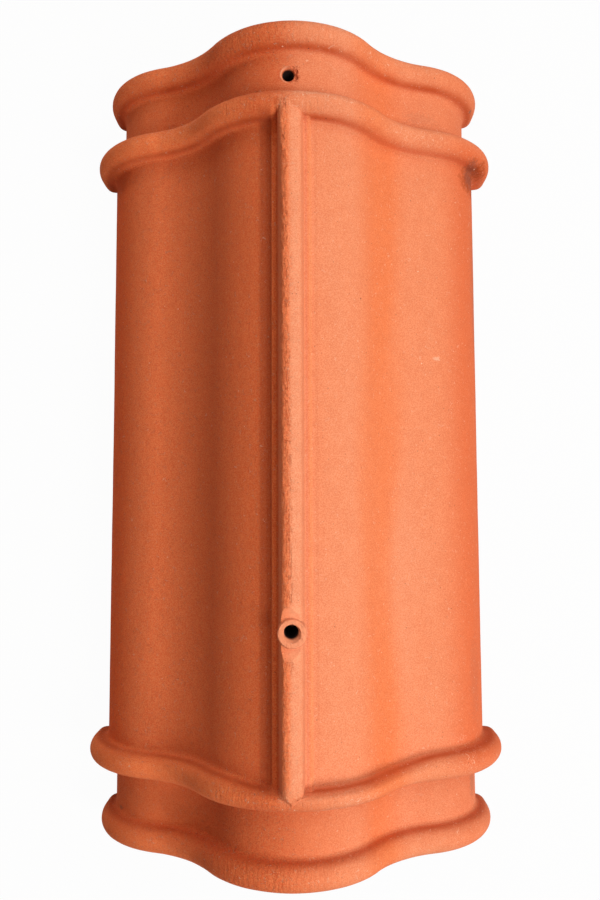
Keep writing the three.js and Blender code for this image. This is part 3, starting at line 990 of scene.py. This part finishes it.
def side_tones(tree, x, y, clouds):
    """The clay's ground tone with light and shade painted in: the lit right pinker with oranger
    bands, the shaded left redder and deeper, and painted shade towards both feet.
    """
    sway = (clouds - 0.5) * 8 * MM
    past_body = abs(y).over(*BODY_END)
    sharp = x.over(*SIDE_EDGE)
    low, high = (x.over(*fade) for fade in SIDE_FADES)
    soft = low + (high - low) * (y > 0)
    right = sharp + (soft - sharp) * past_body
    middle, half = ORANGE_BAND
    band = abs(x + sway - middle * MM).over(half, BAND_CORE)
    pinkness = 0.9 + (clouds - 0.5) * 0.35 - band * 0.8 - past_body * 0.05
    colour = tree.mixed(pinkness.between(0, 1), ORANGE, PINK)
    colour = tree.mixed(right, SHADED_SIDE_RED, colour)
    shaded_side_deeper = (x + sway).over(*SHADED_SIDE_DEEPER_FROM) * (1 - right)
    colour = tree.mixed(shaded_side_deeper, colour, SHADED_SIDE_DEEPER)
    limb = (x + sway * 0.5).over(*LIMB)
    colour = tree.mixed(limb * (0.8 - past_body * 0.4), colour, RIGHT_FOOT_SHADE)
    left_limb = x.over(*LEFT_LIMB)
    return tree.mixed(left_limb * (1 - past_body * 0.6), colour, LEFT_FOOT_SHADE)


def bead_tones(tree, colour, x, along):
    """The left beads and necks painted paler, as lit, and painted shade on the necks towards the
    inner beads.
    """
    bead = abs(along - INNER_BEAD * MM).over(8, 5)
    # painted light: the left beads and necks paler, as lit
    worn = bead * x.over(*LIT_PALER_BEADS) * 0.8
    worn = worn.most(along.over(*BODY_END) * x.over(*LIT_PALER_NECKS) * 0.4)
    colour = tree.mixed(worn, colour, BRIGHT)
    neck_shade = along.over(*NECK_FADE) * along.over(*BEAD_FOOT)
    return tree.mixed(neck_shade * 0.25, colour, DEEP)


def rib_tones(tree, colour, x, along):
    """Lines of other tones along the rib and its ledges, most of them painted light and shade."""
    on_body = along.over(*RIB_END)
    for middle, half, tone, strength in RIB_LINES:
        colour = tree.mixed(line(x, middle, half) * on_body * strength, colour, tone)
    return colour


def grained(tree, colour, stain, rougher):
    """The grain's own stain: a little in red, more in green and blue."""
    grain = 0.5 - stain
    return tree.vector_math("MULTIPLY", colour, tree.vector(
        1 + grain * 0.1, 1 + grain * (0.32 + rougher * 0.22), 1 + grain * (0.46 + rougher * 0.26)))


def creased(tree, colour, x, y, along):
    """Painted shade in the folds beside the beads, stronger in places by noise."""
    faint = x.over(*FAINT_SIDE)
    for change in FAINT_CREASE:
        faint = faint * y.over(*change)
    faint = faint.most(y.over(*FAINT_END_CREASE) * 0.4)
    # noise makes the painted shade in the creases stronger in places
    hand = tree.noise(tree.vector(x, along * 0.2, 0), CREASE_SHADE_CHANGES_PER_METRE, detail=3.0)
    pressed = hand.ramp(0.35, 0.6, 0.4, 0.85)
    return tree.mixed(stored(tree, "crease") * pressed * (1 - faint * 0.8), colour, BEAD_CREASE_SHADE)


def crack(tree, x, y):
    """The fine broken tears along the rib's crest: where a drawn-out noise crosses its middle."""
    across = x - (CRACK_X - y / MM * CRACK_LEAN) * MM
    torn = tree.noise(
        tree.vector(across, y * 0.25, 0), TEARS_PER_METRE, detail=3.0, roughness=0.6)
    thin = abs(torn - 0.5).ramp(0.035, 0.008)
    open_here = tree.noise(tree.vector(0, y, 0), GAPS_PER_METRE).ramp(0.4, 0.5)
    upper = y.over(*CRACK_START)
    return thin * open_here * upper * line(across, 0, CRACK_REACH)


def shaded_and_handled(tree, colour, spot):
    """Painted shade under the upper inner bead's ends, and the marks of handling and smoke, two of
    them painted shade.
    """
    for centre, reach, strength in BEAD_END_SHADES:
        bead_end_shade = patch(tree, spot, centre, reach, ragged=0.5, crumb=4)
        colour = tree.mixed(bead_end_shade * strength, colour, BEAD_END_SHADE)
    for centre, reach, tone, strength in MARKS:
        colour = tree.mixed(patch(tree, spot, centre, reach) * strength, colour, tone)
    return colour


def gritty(tree, colour, spot, grit, beads):
    """Fine pale hairs and scratches, then the pale and the dark grits."""
    scuffed = 0
    for centre, reach in SCUFFS:
        scuffed = patch(tree, spot, centre, reach, ragged=0.9, crumb=6).most(scuffed)
    hairs = (grit["Hairs"] * (0.35 + beads * 0.15)).most(grit["Scratches"] * scuffed * 0.6)
    colour = tree.mixed(hairs, colour, PALE_GRIT)
    for kind, share, specks, tone in (
            ("Pale Grit", 0.8, PALE_SPECKS, PALE_GRIT), ("Dark Grit", 0.7, DARK_SPECKS, DARK_GRIT)):
        shown = grit[kind] * share
        for centre, radius in specks:
            shown = shown + speck(tree, spot, centre, radius)
        colour = tree.mixed(shown.least(1), colour, tone)
    return colour


def bored(tree, colour, x, y, z):
    """The holes' rims, painted paler on the left as lit, and painted shade down the bores; the
    shade's mask comes second.
    """
    bore_shade = 0
    for hole_x, hole_y, radius, clean, dark, worn in BORES:
        off = from_hole(tree, x, y, hole_x, hole_y)
        left = x.over(hole_x + 0.5, hole_x - 2)
        # painted light: the left of the rim paler, as lit
        colour = tree.mixed(line(off, radius * 0.92, 0.6) * left * worn, colour, LIT_PALE)
        bore_shade = (off < radius * MM) * z.over(clean, dark) + bore_shade
    return tree.mixed(bore_shade, colour, BORE_DARK), bore_shade


def fired_clay():
    """The outside: orange and pinker tones in long bands, grit, what handling left on it, and
    painted light and shade.
    """
    made, tree, shader, spot = material("fired_clay")
    x, y, z = tree.parts(spot)
    along = abs(y)
    tones = place(tree, FIRING_TONES, {"Place": spot})
    grit = place(tree, GRIT, {"Place": spot})
    rib = stored(tree, "rib")
    rougher = x.over(*ROUGH_SIDE)
    beads = line(along, INNER_BEAD, 9) + along.over(*END_BEAD)
    cracked = crack(tree, x, y) * rib
    from_boss = from_hole(tree, x, y, BOSS_X, BOSS_Y)
    ring = from_boss.over(*BOSS_TOP)
    hips = from_boss.over(*HIPS) * line(x, BOSS_X, HIP_REACH) * 0.5

    colour = side_tones(tree, x, y, tones["Clouds"])
    colour = bead_tones(tree, colour, x, along)
    colour = rib_tones(tree, colour, x, along)
    colour = tree.mixed(tones["Mottle"] * 0.2 - 0.02, colour, DEEP)
    colour = grained(tree, colour, grit["Stain"], rougher)
    colour = creased(tree, colour, x, y, along)
    colour = tree.mixed(cracked * 0.4, colour, CRACKED)
    # painted light: the boss's top and hips paler, as lit
    colour = tree.mixed((ring * 0.85).most(hips), colour, LIT_BOSS_PALE)
    colour = shaded_and_handled(tree, colour, spot)
    colour = gritty(tree, colour, spot, grit, beads)
    colour, bore_shade = bored(tree, colour, x, y, z)
    tree.fill(shader, {
        "Base Color": colour, "Specular IOR Level": CLAY_SPECULAR,
        "Roughness": (CLAY_ROUGHNESS + grit["Height"] * ROUGHNESS_SPREAD).most(bore_shade)})

    over_hump = beads * abs(x).over(*OVER_HUMP)
    strokes = tree.noise(tree.vector(x, y * 0.2, z * 0.4), STROKES_PER_METRE) * over_hump
    torn = (line(x, TEAR_MIDDLE, TEAR_REACH) * rib).most(ring * 1.4)
    tears = tree.noise(
        tree.vector(x, y * 0.5, z), CRUMBS_PER_METRE, detail=3.0, roughness=0.7) * torn
    grit_height = grit["Height"] * (0.35 + rougher * 0.85)
    bumped(tree, shader, grit_height + strokes + tears * 2.0 - cracked * 0.7, GRAIN_DEPTH)
    return made


def fired_clay_underside():
    """The inside of the arch: duller, with the drag lines of the former."""
    made, tree, shader, spot = material("fired_clay_underside")
    x, y, z = tree.parts(spot)
    tones = place(tree, FIRING_TONES, {"Place": spot, "Cloud Size": 90 * MM})
    grit = place(tree, GRIT, {"Place": spot, "Grain Size": 1.1 * MM, "Grit Spacing": 4 * MM})
    drag = tree.noise(tree.vector(x, y * 0.03, z), CRUMBS_PER_METRE, detail=3.0)
    colour = tree.mixed(tones["Clouds"] * 0.6, ORANGE, UNDERSIDE_TONE)
    colour = tree.mixed(drag * 0.3, colour, DEEP)
    colour = tree.mixed(grit["Pale Grit"] * 0.6, colour, PALE_GRIT)
    tree.fill(shader, {
        "Base Color": colour, "Specular IOR Level": CLAY_SPECULAR,
        "Roughness": UNDERSIDE_ROUGHNESS + drag * ROUGHNESS_SPREAD})
    bumped(tree, shader, grit["Height"] * 0.5 + drag * 0.7, UNDERSIDE_GRAIN_DEPTH)
    return made


# ---------------------------------------------------------------- build

outside = fired_clay()
underside = fired_clay_underside()
tile = built("pressed_tile", tile_tree(), {
    "Wave Height": 0.25 * MM, "Dent Depth": 0.12 * MM, "Tear Depth": 0.45 * MM, "Seed": 3.0,
    "Outside": outside, "Underside": underside})
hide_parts("ridge_tile")
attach(tile, "root")


# ---------------------------------------------------------------- floor, light and camera

FLOOR_REACH = 4  # metres from the tile to each side
CLEAR_BESIDE, CLEAR_BEYOND = (85, 100), (205, 225)  # the floor is white beside and beyond the tile
FLOOR_PAINT = (0.5, 0.5, 0.5, 1)
SEEN_WHITE = 0.97  # how much of the white covers the paint
WHITE = (1, 1, 1, 1)
AIR_COLOUR = (1, 0.55, 0.35, 1)  # warm, from clay and timber round about
AIR_STRENGTH = 0.19
TILE_MIDDLE = Vector((0, 0, 0.05))
LAMP_DISTANCE = 1.8


def seen_directly(tree):
    """1 for what the camera sees directly, in a reflection or through glass, otherwise 0."""
    path = tree.node("ShaderNodeLightPath")
    seen = tree.out(path, "Is Camera Ray")
    for ray in ("Is Glossy Ray", "Is Transmission Ray"):
        seen = seen.most(tree.out(path, ray))
    return seen


def seen_white(name, paint, seen_share):
    """A pale floor that shows as white and still keeps the tile's shadow."""
    made, tree, shader, spot = material(name)
    tree.fill(shader, {"Base Color": paint, "Roughness": 1.0, "Specular IOR Level": 0.0})
    x, y, _ = tree.parts(spot)
    clear = abs(x).over(*CLEAR_BESIDE).most(abs(y).over(*CLEAR_BEYOND))
    white = tree.node("ShaderNodeEmission", {"Color": WHITE, "Strength": 1.0})
    both = tree.node("ShaderNodeMixShader", {
        0: seen_directly(tree) * clear * seen_share, 1: shader.outputs[0], 2: white.outputs[0]})
    tree.feed(made.node_tree.nodes["Material Output"].inputs["Surface"], both.outputs[0])
    return made


def softbox(name, azimuth, elevation, side, power, colour=(1, 1, 1)):
    """A square soft lamp that faces the tile: azimuth 0 is its right, 90 its upper end."""
    lamp = bpy.data.lights.new(name, "AREA")
    lamp.size = side
    lamp.energy = power
    lamp.color = colour
    body = in_scene(name, lamp)
    round_it, up = math.radians(azimuth), math.radians(elevation)
    towards = Vector(
        (math.cos(up) * math.cos(round_it), math.cos(up) * math.sin(round_it), math.sin(up)))
    body.location = TILE_MIDDLE + LAMP_DISTANCE * towards
    body.rotation_euler = towards.to_track_quat("Z", "Y").to_euler()


floor_mesh = bpy.data.meshes.new("studio_floor")
floor_mesh.from_pydata(
    [(x * FLOOR_REACH, y * FLOOR_REACH, 0) for x, y in ((-1, -1), (1, -1), (1, 1), (-1, 1))],
    [], [(0, 1, 2, 3)])
floor_mesh.materials.append(seen_white("studio_floor_paint", FLOOR_PAINT, SEEN_WHITE))
studio_floor = in_scene("studio_floor", floor_mesh)

world = bpy.data.worlds.new("studio_air")
bpy.context.scene.world = world
world.use_nodes = True
air = Tree(world.node_tree)
background = world.node_tree.nodes["Background"]
air.fill(background, {"Color": AIR_COLOUR, "Strength": AIR_STRENGTH})
white_air = air.node("ShaderNodeBackground", {"Color": WHITE, "Strength": 1.0})
mixed = air.node("ShaderNodeMixShader", {
    0: seen_directly(air), 1: background.outputs[0], 2: white_air.outputs[0]})
air.feed(world.node_tree.nodes["World Output"].inputs["Surface"], mixed.outputs[0])

softbox("key_low", -34, 47, 0.8, 27)
softbox("key_high", 42, 42, 0.9, 9.4)
softbox("end_fill", 104, 28, 0.6, 5.5)
softbox("top_fill", 180, 80, 0.5, 2.5, (1, 0.8, 0.65))

CAMERA_AT = (9.51, -30.3, 520.51)
CAMERA_PITCH, CAMERA_YAW, CAMERA_ROLL = 3.56, 0.718, -0.189
CAMERA_LENS = 33.66
camera = in_scene("camera", bpy.data.cameras.new("camera"))
camera.data.lens = CAMERA_LENS
camera.data.clip_start = 0.01
turn = (Matrix.Rotation(math.radians(CAMERA_ROLL), 4, "Z")
        @ Matrix.Rotation(math.radians(CAMERA_YAW), 4, "Y")
        @ Matrix.Rotation(math.radians(CAMERA_PITCH), 4, "X"))
camera.matrix_world = Matrix.Translation(Vector(CAMERA_AT) * MM) @ turn
bpy.context.scene.camera = camera
bpy.context.scene.view_settings.view_transform = "Standard"
